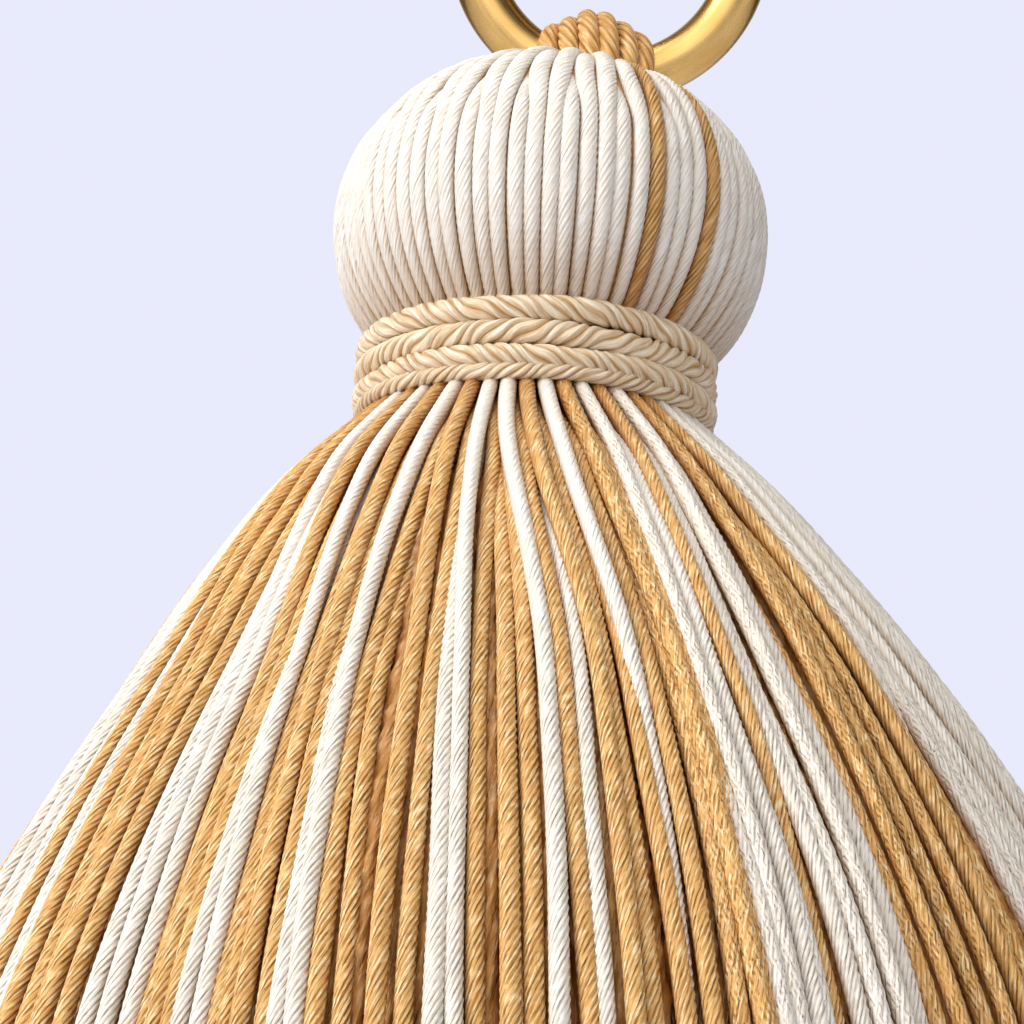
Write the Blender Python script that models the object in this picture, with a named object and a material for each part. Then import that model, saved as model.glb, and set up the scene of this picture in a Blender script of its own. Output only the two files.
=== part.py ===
"""A cord tassel: brass ring, cord sling, ribbed ball head, three-wrap binding and flared skirt.

Lengths are metres, +Z is up and -Y is the front. The origin is the point at which a hook
holds the ring. Shapes are worked out from the middle of the binding and then moved there.
"""
import math
import random

import bmesh
import bpy
from mathutils import Matrix, Vector

MM = 0.001
GAP = 0.3 * MM

# Ring
RING_OUTER_RADIUS = 11.9 * MM
RING_WIRE_RADIUS = 1.85 * MM
RING_CENTRE = Vector((5.5, 5.2, 36.6)) * MM
RING_LEAN = math.radians(12)
RING_STEPS = 40
RING_SIDES = 8

# Head, a ball that is wrapped in upright cords
HEAD_LEAN = math.radians(2.5)
HEAD_OFFSET = 0.6 * MM
HEAD_RADIUS = 15.2 * MM
HEAD_EQUATOR = 11.3 * MM
HEAD_RISE = 12.9 * MM
HEAD_DROP = 13.7 * MM
HEAD_CORDS = 78
GROOVE_DEPTH = 0.4 * MM
POLE = Vector((2.4, 3.6)) * MM
POLE_HOLE_RADIUS = 1.7 * MM
DIMPLE_RADIUS = 7.0 * MM
DIMPLE_DEPTH = 4.8 * MM
HEAD_UPPER_ROWS = 6
HEAD_LOWER_ROWS = 4
HEAD_LAST_ROW = 3.4 * MM
POLE_GROOVE_SHARE = 0.35
TUCK_RADIUS = 11.9 * MM

# Neck, hidden inside the binding
NECK_RADIUS = 10.1 * MM

# Binding, three wraps of twisted cord
BAND_RADIUS = 12.5 * MM
BAND_TWISTS = 28
STEPS_PER_TWIST = 3
BAND_SIDES = 6
TWIST_DEPTH = 0.14
WRAPS = (
    # name, half thickness, height of its middle, way of the twist
    ("band_top", 0.72 * MM, 2.02 * MM, -1),
    ("band_middle", 0.72 * MM, 0.28 * MM, 1),
    ("band_bottom", 1.00 * MM, -1.74 * MM, -1),
)

# Sling, the cord that is wound through the ring and into the head
SLING_CORDS = 5
SLING_WIDTH_TOP = 7.5 * MM
SLING_WIDTH_ROOT = 4.0 * MM
SLING_HUMP_TOP = 2.8 * MM
SLING_HUMP_ROOT = 1.5 * MM
SLING_EDGE = 0.5 * MM
SLING_RIB = 0.2 * MM
SLING_CLEARANCE = 0.6 * MM
SLING_STEPS = 24
SLING_FOOT = Vector((4.2, 4.4, 21.6)) * MM

# Skirt
STRAND_WIDTH = 0.95 * MM
STRANDS_AROUND = 60
END_UNEVENNESS = 1.1 * MM
STRAND_WANDER = 0.16 * MM
DRIFT_START = -3 * MM
DRIFT_LENGTH = 15 * MM
DRIFT_MEAN = math.radians(8)
DRIFT_SWING = math.radians(7)
LEAN_END = -25 * MM
LEAN_START = -3 * MM
FIRST_STRAND = math.radians(-2)
SKIRT_PROFILE = (
    # height, outer radius
    (-2.6 * MM, 10.3 * MM),
    (-5.0 * MM, 13.3 * MM),
    (-8.0 * MM, 16.8 * MM),
    (-14.0 * MM, 21.8 * MM),
    (-24.0 * MM, 28.6 * MM),
    (-42.0 * MM, 38.4 * MM),
    (-66.0 * MM, 45.4 * MM),
)
ROOT_RINGS = (
    # height, radius: the rings between which the layers of strands leave the neck
    (-2.4 * MM, 10.1 * MM),
    (-2.9 * MM, 8.4 * MM),
    (-3.4 * MM, 6.8 * MM),
    (-3.9 * MM, 5.2 * MM),
    (-4.3 * MM, 3.6 * MM),
)
LAYERS = (
    # heights of the bends, how deep each bend lies under the skirt's face, sideways share of a place
    ((-5, -14, -26, -42, -66), (0.0, 0.0, 0.0, 0.0, 0.0), 0.0),
    ((-8, -24, -42, -66), (2.0, 1.3, 0.0, 0.0), 1 / 3),
    ((-8, -24, -42, -66), (4.0, 2.5, 0.1, 0.0), -1 / 3),
    ((-20, -62), (11.5, 15.0), 0.0),
)
COLOURS = (
    # one letter a strand, g gold and i ivory, from the front to the right and round
    "gigigiggiiiiiiiggiigigigiiggigiiggigigiiggigiggiigggigigigii",
    "gggiiiggiiiiiiggigiigggigigiiggigiigiggigiiggigiiiggiggggggg",
    "iggiiigggiiiiiigiggiigigigiigggigiigigigiggiigiggiigigigigig",
    "giigigggiigigggigiigiggigiggiigigiggigiiggigigiiggigigigiigg",
)


def clear_scene():
    for item in list(bpy.data.objects):
        bpy.data.objects.remove(item, do_unlink=True)


def make_material(name, colour, roughness, metallic=0.0):
    material = bpy.data.materials.new(name)
    material.use_nodes = True
    shader = material.node_tree.nodes["Principled BSDF"]
    shader.inputs["Base Color"].default_value = (*colour, 1.0)
    shader.inputs["Roughness"].default_value = roughness
    shader.inputs["Metallic"].default_value = metallic
    material.diffuse_color = (*colour, 1.0)
    return material


def add_object(name, mesh, materials, parent, location=(0, 0, 0), lean=0.0):
    """Put a mesh into the tassel's collection, at a place measured from the binding's middle."""
    for material in materials:
        mesh.materials.append(material)
    item = bpy.data.objects.new(name, mesh)
    item.parent = parent
    item.location = location
    item.rotation_euler = (0, lean, 0)
    parent.users_collection[0].objects.link(item)
    return item


def smooth_step(value):
    """Ease from 0 to 1."""
    share = min(max(value, 0.0), 1.0)
    return share * share * (3 - 2 * share)


def interpolate(value, keys, results):
    """Read a table of falling keys, straight from row to row."""
    for upper, lower, first, second in zip(keys, keys[1:], results, results[1:]):
        if value >= lower:
            share = (upper - value) / (upper - lower)
            return first + (second - first) * max(share, 0.0)
    return results[-1]


def loft(name, rows, ring=False):
    """Skin closed rows of points, as a closed ring or with a fan over each end."""
    mesh = bpy.data.meshes.new(name)
    shape = bmesh.new()
    grid = [[shape.verts.new(point) for point in row] for row in rows]
    count = len(rows[0])
    pairs = list(zip(grid, grid[1:]))
    if ring:
        pairs.append((grid[-1], grid[0]))
    for upper, lower in pairs:
        for i in range(count):
            j = (i + 1) % count
            shape.faces.new((upper[i], lower[i], lower[j], upper[j]))
    if not ring:
        for row, flip in ((grid[0], False), (grid[-1], True)):
            middle = sum((vertex.co for vertex in row), Vector()) / count
            hub = shape.verts.new(middle)
            for i in range(count):
                j = (i + 1) % count
                corners = (row[j], row[i], hub) if flip else (row[i], row[j], hub)
                shape.faces.new(corners)
    bmesh.ops.recalc_face_normals(shape, faces=shape.faces)
    for face in shape.faces:
        face.smooth = True
    shape.to_mesh(mesh)
    shape.free()
    return mesh


def around(angle):
    """Flat direction at an angle from the front, turning to the right."""
    return Vector((math.sin(angle), -math.cos(angle)))


# Ring


def make_ring(parent, brass):
    """A closed ring of round wire that leans forward a little."""
    bpy.ops.mesh.primitive_torus_add(
        major_radius=RING_OUTER_RADIUS - RING_WIRE_RADIUS,
        minor_radius=RING_WIRE_RADIUS,
        major_segments=RING_STEPS,
        minor_segments=RING_SIDES,
        location=(0, 0, 0),
    )
    ring = bpy.context.object
    for collection in list(ring.users_collection):
        collection.objects.unlink(ring)
    parent.users_collection[0].objects.link(ring)
    ring.name = "ring"
    ring.data.materials.append(brass)
    ring.parent = parent
    ring.location = RING_CENTRE
    ring.rotation_euler = (math.pi / 2 + RING_LEAN, 0, 0)
    for polygon in ring.data.polygons:
        polygon.use_smooth = True


def wire_bottom():
    """Middle of the wire at the ring's lowest point."""
    drop = RING_OUTER_RADIUS - RING_WIRE_RADIUS
    return RING_CENTRE + Vector((0, drop * math.sin(RING_LEAN), -drop * math.cos(RING_LEAN)))


def wire_rise(x):
    """How far the wire has curved up at a place beside its lowest point."""
    middle = RING_OUTER_RADIUS - RING_WIRE_RADIUS
    return middle - math.sqrt(middle ** 2 - (x - RING_CENTRE.x) ** 2)


# Sling


def sling_section(width, hump, phase):
    """Points across the strap: a hump of cords side by side, flat where it meets the wire."""
    points = []
    steps = SLING_CORDS * 2
    for i in range(steps + 1):
        share = i / steps
        crown = math.sin(math.pi * share)
        rib = SLING_RIB * crown * math.cos(2 * math.pi * (share * SLING_CORDS + phase))
        points.append(((share - 0.5) * width, SLING_EDGE + (hump - SLING_EDGE) * crown ** 0.8 + rib))
    for share in (1.0, 0.66, 0.33, 0.0):
        points.append(((share - 0.5) * width * 0.9, 0.0))
    return points


def make_sling(parent, gold):
    """Turns of cord round the ring's wire that narrow as they go down into the head."""
    wire = wire_bottom()
    fall = SLING_FOOT - wire
    down = Vector((0, fall.y, fall.z)).normalized()
    across = Vector((0, -down.z, down.y))
    near = RING_WIRE_RADIUS + SLING_CLEARANCE
    far = Vector((0, fall.y, fall.z)).length - SLING_HUMP_ROOT
    long_half = (near + far) / 2
    short_half = near + SLING_CLEARANCE / 3
    middle = wire + down * (far - near) / 2
    rows = []
    for step in range(SLING_STEPS):
        turn = 2 * math.pi * step / SLING_STEPS
        spot = middle + down * long_half * math.cos(turn) + across * short_half * math.sin(turn)
        spot.x = SLING_FOOT.x
        out = (down * math.cos(turn) / long_half + across * math.sin(turn) / short_half).normalized()
        low = (1 + math.cos(turn)) / 2
        width = SLING_WIDTH_TOP + (SLING_WIDTH_ROOT - SLING_WIDTH_TOP) * low
        hump = SLING_HUMP_TOP + (SLING_HUMP_ROOT - SLING_HUMP_TOP) * low
        row = []
        for x, rise in sling_section(width, hump, step / SLING_STEPS):
            point = spot + Vector((x, 0, 0)) + out * rise
            point.z += wire_rise(point.x) * (1 - low * low)
            row.append(point)
        rows.append(row)
    add_object("sling", loft("sling", rows, ring=True), [gold], parent)


# Head


def dimple(radius):
    """How far the top is drawn in near the hole that takes the sling."""
    share = min(radius / DIMPLE_RADIUS, 1.0)
    return DIMPLE_DEPTH * (1 - share * share) ** 2


def head_point(angle, turn, depth):
    """Point on the ball at a turn of 0 at its top, sunk by a depth towards its middle."""
    radius = HEAD_RADIUS * math.sin(turn)
    flat = around(angle) * radius
    if turn < math.pi / 2:
        flat += POLE * (1 - math.sin(turn))
        share = min(flat.length / HEAD_RADIUS, 1.0)
        height = HEAD_RISE * math.sqrt(1 - share * share) - dimple(radius)
    else:
        height = HEAD_DROP * math.cos(turn)
    point = Vector((flat.x, flat.y, height))
    point *= 1 - depth / point.length
    return point + Vector((HEAD_OFFSET, 0, HEAD_EQUATOR))


def head_turns():
    """Turns of the rows from the hole in the top down to the binding."""
    first = math.asin(POLE_HOLE_RADIUS / HEAD_RADIUS)
    last = math.pi - math.acos((HEAD_EQUATOR - HEAD_LAST_ROW) / HEAD_DROP)
    upper = [first + (math.pi / 2 - first) * i / HEAD_UPPER_ROWS for i in range(HEAD_UPPER_ROWS)]
    lower = [math.pi / 2 + (last - math.pi / 2) * i / HEAD_LOWER_ROWS for i in range(HEAD_LOWER_ROWS + 1)]
    return upper + lower


def make_head(parent, ivory):
    """The ball with a groove between each two cords, tucked in under and drawn into the neck."""
    columns = HEAD_CORDS * 2
    turns = head_turns()
    rows = []
    for number, turn in enumerate(turns):
        fade = POLE_GROOVE_SHARE if number == 0 else 1.0
        row = []
        for i in range(columns):
            depth = GROOVE_DEPTH * fade * (i % 2)
            row.append(head_point(2 * math.pi * i / columns, turn, depth))
        rows.append(row)
    band_top = WRAPS[0][2] + WRAPS[0][1]
    tuck = (
        # radius, height, middle's offset
        (TUCK_RADIUS, band_top + GAP * 1.6, HEAD_OFFSET / 2),
        (NECK_RADIUS, band_top - GAP, 0.0),
        (NECK_RADIUS, GAP / 2, 0.0),
    )
    for radius, height, offset in tuck:
        ring = [around(2 * math.pi * i / columns) * radius for i in range(columns)]
        rows.append([Vector((spot.x + offset, spot.y, height)) for spot in ring])
    add_object("head", loft("head", rows), [ivory], parent, lean=HEAD_LEAN)


# Binding


def make_wrap(parent, champagne, name, half, height, way):
    """One wrap: a twisted two-ply cord bent into a closed ring."""
    steps = BAND_TWISTS * STEPS_PER_TWIST
    middle = BAND_RADIUS - half
    rows = []
    for step in range(steps):
        angle = 2 * math.pi * step / steps
        flat = around(angle)
        row = []
        for side in range(BAND_SIDES):
            roll = 2 * math.pi * side / BAND_SIDES
            lobe = math.cos(2 * roll - way * BAND_TWISTS * angle)
            reach = half * (1 - TWIST_DEPTH + TWIST_DEPTH * lobe)
            radius = middle + reach * math.cos(roll)
            row.append(Vector((flat.x * radius, flat.y * radius, height + reach * math.sin(roll))))
        rows.append(row)
    add_object(name, loft(name, rows, ring=True), [champagne], parent, lean=HEAD_LEAN)


# Skirt


def skirt_radius(height):
    heights = [row[0] for row in SKIRT_PROFILE]
    radii = [row[1] for row in SKIRT_PROFILE]
    return interpolate(height, heights, radii)


def lean_with_head(point):
    """Tip the skirt's top with the head, fading out down the skirt."""
    share = smooth_step((point.z - LEAN_END) / (LEAN_START - LEAN_END))
    return Matrix.Rotation(HEAD_LEAN * share, 3, "Y") @ point


def drift(angle, height):
    """How far a strand has swung round on its way down."""
    share = 1 - math.exp(min((height - DRIFT_START) / DRIFT_LENGTH, 0.0))
    return (DRIFT_MEAN - DRIFT_SWING * math.sin(angle)) * share


def strand_sections(layer, place, dice):
    """Four-cornered sections of one strand, from its first bend to its end."""
    bends, depths, sideways = LAYERS[layer]
    sector = 2 * math.pi / STRANDS_AROUND
    root_angle = FIRST_STRAND + place * sector
    root_height = (ROOT_RINGS[layer][0] + ROOT_RINGS[layer + 1][0]) / 2
    root_radius = (ROOT_RINGS[layer][1] + ROOT_RINGS[layer + 1][1]) / 2
    spots = [(root_radius, root_height, root_angle)]
    for number, (bend, depth) in enumerate(zip(bends, depths)):
        last = number == len(bends) - 1
        height = bend * MM + (dice.uniform(-1, 1) * END_UNEVENNESS if last else 0.0)
        radius = skirt_radius(bend * MM) - STRAND_WIDTH / 2 - depth * MM
        angle = root_angle + sideways * sector + drift(root_angle, bend * MM)
        angle += dice.uniform(-1, 1) * STRAND_WANDER / radius
        spots.append((radius, height, angle))
    sections = []
    for number in range(1, len(spots)):
        radius, height, angle = spots[number]
        above = spots[number - 1]
        below = spots[min(number + 1, len(spots) - 1)]
        slope = Vector((below[0] - above[0], below[1] - above[1])).normalized()
        out = around(angle)
        side = Vector((-out.y, out.x, 0)) * STRAND_WIDTH / 2
        face = Vector((-out.x * slope.y, -out.y * slope.y, slope.x)) * STRAND_WIDTH / 2
        centre = Vector((out.x * radius, out.y * radius, height))
        corners = (face - side, face + side, side - face, -side - face)
        sections.append([lean_with_head(centre + corner) for corner in corners])
    return sections


def root_grid(shape):
    """The neck's rings of corners, from its top rim down to its blunt tip."""
    sector = 2 * math.pi / STRANDS_AROUND
    top = ((-GAP / 2, NECK_RADIUS - GAP), (-GAP * 1.5, NECK_RADIUS))
    grid = []
    for height, radius in top + ROOT_RINGS:
        ring = []
        for place in range(STRANDS_AROUND):
            flat = around(FIRST_STRAND + (place - 0.5) * sector) * radius
            ring.append(shape.verts.new(lean_with_head(Vector((flat.x, flat.y, height)))))
        grid.append(ring)
    return grid


def close_ring(shape, ring, height, flip):
    """Fan a ring of corners to a point on the axis."""
    hub = shape.verts.new(lean_with_head(Vector((0, 0, height))))
    for first, second in zip(ring, ring[1:] + ring[:1]):
        corners = (second, first, hub) if flip else (first, second, hub)
        shape.faces.new(corners)


def grow_strand(shape, root, sections, colour):
    """Carry a root's four corners down through the strand's sections and close its end."""
    upper = root
    for section in sections:
        lower = [shape.verts.new(point) for point in section]
        for i in range(4):
            j = (i + 1) % 4
            face = shape.faces.new((upper[i], lower[i], lower[j], upper[j]))
            face.material_index = colour
            face.smooth = False
        upper = lower
    end = shape.faces.new(upper)
    end.material_index = colour


def make_skirt(parent, ivory, gold):
    """The neck inside the binding with four layers of strands that stand apart below it."""
    dice = random.Random(11)
    mesh = bpy.data.meshes.new("skirt")
    shape = bmesh.new()
    grid = root_grid(shape)
    close_ring(shape, grid[0], -GAP / 2, False)
    close_ring(shape, grid[-1], ROOT_RINGS[-1][0] - GAP, True)
    for upper, lower in zip(grid[:2], grid[1:3]):
        for i in range(STRANDS_AROUND):
            j = (i + 1) % STRANDS_AROUND
            shape.faces.new((upper[i], lower[i], lower[j], upper[j]))
    for layer in range(len(LAYERS)):
        outer, inner = grid[layer + 2], grid[layer + 3]
        for place in range(STRANDS_AROUND):
            beside = (place + 1) % STRANDS_AROUND
            root = [outer[place], outer[beside], inner[beside], inner[place]]
            colour = 1 if COLOURS[layer][place] == "g" else 0
            grow_strand(shape, root, strand_sections(layer, place, dice), colour)
    bmesh.ops.recalc_face_normals(shape, faces=shape.faces)
    shape.to_mesh(mesh)
    shape.free()
    add_object("skirt", mesh, [ivory, gold], parent)


def main():
    clear_scene()
    tassel = bpy.data.collections.new("tassel")
    bpy.context.scene.collection.children.link(tassel)
    # The binding's middle, placed so that the ring's inner top lands on the origin
    inner_top = RING_OUTER_RADIUS - 2 * RING_WIRE_RADIUS
    hang = RING_CENTRE + Vector((0, -inner_top * math.sin(RING_LEAN), inner_top * math.cos(RING_LEAN)))
    binding = bpy.data.objects.new("binding_middle", None)
    binding.location = -hang
    tassel.objects.link(binding)

    ivory = make_material("ivory_cord", (0.88, 0.84, 0.75), 0.55)
    gold = make_material("gold_cord", (0.61, 0.35, 0.10), 0.5)
    champagne = make_material("champagne_cord", (0.74, 0.54, 0.29), 0.5)
    brass = make_material("brass", (0.78, 0.57, 0.24), 0.3, 1.0)

    make_ring(binding, brass)
    make_sling(binding, gold)
    make_head(binding, ivory)
    for name, half, height, way in WRAPS:
        make_wrap(binding, champagne, name, half, height, way)
    make_skirt(binding, ivory, gold)
    bpy.context.view_layer.update()


main()
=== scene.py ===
"""Looks of the cord tassel: twisted cords swept along their real paths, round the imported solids.

Shapes are worked out in millimetres from the middle of the binding, +Z up and -Y the front.
"""
import math
import random

import bpy
import numpy as np
from mathutils import Matrix, Vector


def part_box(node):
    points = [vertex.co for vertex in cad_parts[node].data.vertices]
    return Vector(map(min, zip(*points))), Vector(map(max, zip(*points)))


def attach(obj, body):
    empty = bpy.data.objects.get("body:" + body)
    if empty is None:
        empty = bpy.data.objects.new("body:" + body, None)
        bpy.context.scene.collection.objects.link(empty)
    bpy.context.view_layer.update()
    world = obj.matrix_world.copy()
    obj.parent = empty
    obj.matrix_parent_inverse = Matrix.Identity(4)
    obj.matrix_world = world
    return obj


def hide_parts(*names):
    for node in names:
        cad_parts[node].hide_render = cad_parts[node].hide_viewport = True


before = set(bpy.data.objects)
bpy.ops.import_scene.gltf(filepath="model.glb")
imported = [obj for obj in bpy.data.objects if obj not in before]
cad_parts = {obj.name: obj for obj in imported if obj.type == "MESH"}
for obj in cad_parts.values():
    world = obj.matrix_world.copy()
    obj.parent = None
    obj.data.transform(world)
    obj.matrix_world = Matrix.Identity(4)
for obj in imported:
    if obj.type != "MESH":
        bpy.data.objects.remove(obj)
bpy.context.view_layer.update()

MM = 0.001
BODY = "root"

# Cross-sections: ridges, points on each ridge, depth of the grooves and how narrow they are
BAND_SECTION = (5, 7, 0.22, 2.0)
SLING_SECTION = (7, 3, 0.12, 1.4)
HEAD_FRONT_SECTION = (11, 2, 0.05, 1.0)
HEAD_BACK_SECTION = (6, 2, 0.07, 1.0)
STRAND_PLIES = 10
FRONT_SECTION = (STRAND_PLIES, 2, 0.09, 1.0)
BACK_SECTION = (6, 2, 0.12, 1.0)
COARSE_SECTION = (4, 2, 0.15, 1.0)

# Binding, whose middle is the place that all other sizes are measured from
MIDDLE_WRAP_HEIGHT = 0.28
BAND_STEPS = 240
BAND_CORDS = (
    # piece, node, half thickness, height of its middle, outer radius, turns of the twist
    ("band_top_cord", "band_top", 0.90, 1.98, 12.5, 14),
    ("band_middle_cord", "band_middle", 0.90, 0.26, 12.5, -14),
    ("band_bottom_cord", "band_bottom", 0.84, -1.36, 12.55, 15),
    ("band_edge_cord", "band_bottom", 0.60, -2.34, 12.35, -18),
)
# Unevenness round a wrap: waves to a turn, their size, and how far they shift from wrap to wrap
BAND_RISE_WAVES = ((5, 0.06, 2),)
BAND_THICKNESS_WAVES = ((9, 0.03, 1), (23, 0.02, 3))
BAND_TWIST_WAVES = ((11, 0.35, 1), (29, 0.20, 1))

# Head
HEAD_LEAN = math.radians(2.5)
HEAD_OFFSET = 0.6
HEAD_RADIUS = 15.2
HEAD_EQUATOR = 11.3
HEAD_RISE = 12.9
HEAD_DROP = 13.7
HEAD_CORDS = 78
HEAD_CORD_HALF = 0.62
POLE = (2.4, 3.6)
POLE_HOLE_RADIUS = 1.7
DIMPLE_RADIUS = 7.0
DIMPLE_DEPTH = 4.8
HEAD_LAST_ROW = 2.7
HEAD_LAY = 7.0
HEAD_GROUND_DEPTH = 0.62
HEAD_FLATNESS = 0.74
HEAD_FRONT_STEPS = 66
HEAD_BACK_STEPS = 42
# Painted shade on every head cord, and more of it over the last stretch above the binding
HEAD_SHADE = 0.12
HEAD_FOOT_SHADE = 0.46
HEAD_FOOT_LENGTH = 11.0
GOLD_HEAD_CORDS = (6, 10)
HEAD_TUCK = (
    # radius, height: where a cord's middle passes under the binding
    (11.1, 2.1),
    (10.7, 1.2),
)
HEAD_GROUND_TUCK = (
    # radius, height: where the under-layer passes under the binding
    (10.0, 2.6),
    (10.0, 0.2),
)
# Turns from the head's top where its cords begin to crowd, and over what turn they do
EARLY_CROWDING = (math.radians(78), math.radians(26))
LATE_CROWDING = (math.radians(48), math.radians(22))
CROWDING = (
    # for each third cord: sideways share, early and late depth, early and late change of width
    (0.0, 0.0, 0.0, 0.5, 1.5),
    (-0.25, 0.5, 0.0, -0.4, 0.0),
    (-0.5, 0.0, 0.55, 0.5, -0.8),
)

# Ring
RING_OUTER_RADIUS = 11.9
RING_WIRE_RADIUS = 1.85
RING_CENTRE = np.array((5.5, 5.2, 36.6))
RING_LEAN = math.radians(12)

# Sling
SLING_FOOT = np.array((4.2, 4.4, 21.6))
SLING_CORD_HALF = 0.8
SLING_LAY = 7.0
SLING_STEPS = 64
SLING_SPREAD_POWER = 1.5
SLING_LOOPS = (
    # sideways place over the wire, in front and at the root, then height over the wire
    (-2.2, -2.6, -2.0, 0.5),
    (-1.1, -1.3, -1.0, 0.7),
    (0.0, 0.0, 0.0, 0.8),
    (1.1, 1.3, 1.0, 0.7),
    (2.2, 2.6, 2.0, 0.5),
    (-1.9, -3.2, -1.8, 0.95),
    (-1.25, -1.75, -0.9, 1.75),
    (-0.35, -0.3, 0.0, 2.45),
    (0.55, 1.1, 0.9, 2.4),
    (1.35, 2.5, 1.7, 1.75),
    (2.0, 3.7, 2.3, 1.0),
)

# Skirt
STRAND_HALF = (0.57, 0.54, 0.60)
STRAND_HALF_HEIGHTS = (4, 22, 62)
UNDER_THICKNESS = 1.75
THICKNESS_CHANGE = (0.92, 1.06)
CUT_END_FLARE = 1.06
STRANDS_AROUND = 60
SECTOR = 2 * math.pi / STRANDS_AROUND
FIRST_STRAND = math.radians(-2)
TWIST_LAY = 6.4
PLAIT_LAY = 10.0
PLAITED_SHARE = 0.8
PLAITED_PLACES = (1, 18)
FEWEST_STEPS_A_LAY = 8
FRONT_STEPS = {"outer": 126, "between": 106}
BACK_STEPS = {"outer": 78, "between": 66}
INNER_STEPS = 34
UNDER_STEPS = 28
HIDDEN_STEP = 1.6
FACING_LIMIT = -0.2
TWIST_FADE = (4.0, 34.0)
END_UNEVENNESS = 1.1
DRIFT_START = -3
DRIFT_LENGTH = 15
DRIFT_MEAN = math.radians(8)
DRIFT_SWING = math.radians(7)
LEAN_START = -3
LEAN_END = -25
SKIRT_PROFILE = (
    # height, outer radius
    (-2.6, 11.3),
    (-5, 13.9),
    (-8, 17.0),
    (-14, 21.8),
    (-24, 28.6),
    (-42, 38.4),
    (-66, 45.4),
)
LAYERS = (
    # root radius and height, then rows of height, depth under the face and sideways share of a place
    (10.6, -2.45, ((-5, 0, 0), (-8, 0, 0), (-14, 0, 0), (-24, 0, 0), (-42, 0, 0), (-66, 0, 0))),
    (8.6, -3.0, ((-8, 0.9, 0.5), (-14, 0.4, 0.48), (-24, 0.12, 0.36), (-42, 0, 1 / 3), (-66, 0, 1 / 3))),
    (6.8, -3.5, ((-8, 2.2, -0.1), (-14, 1.1, -0.2), (-24, 0.4, -0.33), (-42, 0, -1 / 3), (-66, 0, -1 / 3))),
    (4.4, -4.1, ((-20, 11.5, 0), (-41, 13.2, 0), (-62, 15, 0))),
    (6.0, -3.8, ((-10, 2.6, 0.25), (-24, 2.0, 0.2), (-42, 1.5, 0.17), (-63, 2.2, 0.17))),
    (5.6, -3.9, ((-10, 3.4, 0.75), (-24, 2.6, 0.7), (-42, 1.9, 0.67), (-63, 2.8, 0.67))),
)
BETWEEN_LAYERS = (1, 2)
INNER_LAYER = 3
UNDER_LAYERS = (4, 5)
# For each layer: the length hidden at a strand's top, and how deep in shade the strand lies
HIDDEN_LENGTHS = (0.0, 5.0, 9.0, 0.0, 0.0, 0.0)
LAYER_SHADES = (0.0, 0.06, 0.12, 0.4, 0.48, 0.56)
BETWEEN_SHADE_START = 14
BETWEEN_SHADE_LENGTH = 26
# Painted shade just under the binding
ROOT_SHADE = 0.3
ROOT_SHADE_LENGTH = 2.0
COLOURS = (
    # one letter a strand, g gold and i ivory, from the front to the right and round
    "gigigiggiiiiiiiggiigigigiiggigiiggigigiiggigiggiigggigigigii",
    "gggiiiggiiiiiiggigiigggigigiiggigiigiggigiiggigiiiggiggggggg",
    "iggiiigggiiiiiigiggiigigigiigggigiigigigiggiigiggiigigigigig",
    "giigigggiigigggigiigiggigiggiigigiggigiiggigigiiggigigigiigg",
)
SMOOTHNESS = {"g": 0.8, "i": 0.35}
# Painted shade over a strand's first stretch below the binding, more on gold
BAND_SHADE = {"g": 0.30, "i": 0.10}
BAND_SHADE_LENGTH = 24.0
BETWEEN_DEPTH = 0.7
SLIDES = {
    # place in the outer layer: how far its strand leaves its even course, to the right
    51: 0.0,
    52: 1.2,
    53: 0.7,
    54: -0.3,
    55: -1.3,
    56: -2.0,
    57: -0.9,
    58: -1.2,
    59: 1.1,
    0: 1.2,
    1: 0.5,
    2: 0.3,
    3: -0.9,
    4: -1.9,
    5: -2.0,
    6: -1.5,
    7: 0.4,
    8: -0.4,
}
NUDGES = {
    # layer and place: how much further that one strand goes
    (1, 56): -0.6,
    (2, 57): -0.8,
    (0, 57): -0.2,
    (2, 58): 0.5,
    (0, 58): 0.4,
    (1, 58): -0.55,
    (2, 59): -0.6,
    (2, 1): 0.7,
    (2, 2): 0.6,
    (0, 2): 0.4,
}
EXTRA_STRANDS = (
    # layer, place, colour
    (1, 58.43, "g"),
)
SLIDE_START = -4
SLIDE_LENGTH = 24
FREE_LENGTH = 14
SINK_LENGTH = 12
WANDER_WAVES = (
    # size, shortest and longest length of a radian
    (0.16, 9, 14),
    (0.05, 3.5, 5),
)
BOB_WAVE = (0.12, 6, 10)
OUTWARD_TILT = 0.5
SUNK_STRANDS = (
    # layer, place, height where it starts to sink, depth
    (0, 1, -20, 0.6),
    (0, 4, -26, 0.9),
    (0, 8, -20, 1.4),
)

# Camera, measured from the binding's middle
CAMERA_PLACE = Vector((0, -189.9, -62.8))
CAMERA_PITCH = math.radians(15.95)
CAMERA_YAW = math.radians(0.47)
CAMERA_ROLL = math.radians(0.14)
CAMERA_LENS = 102.3

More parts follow.
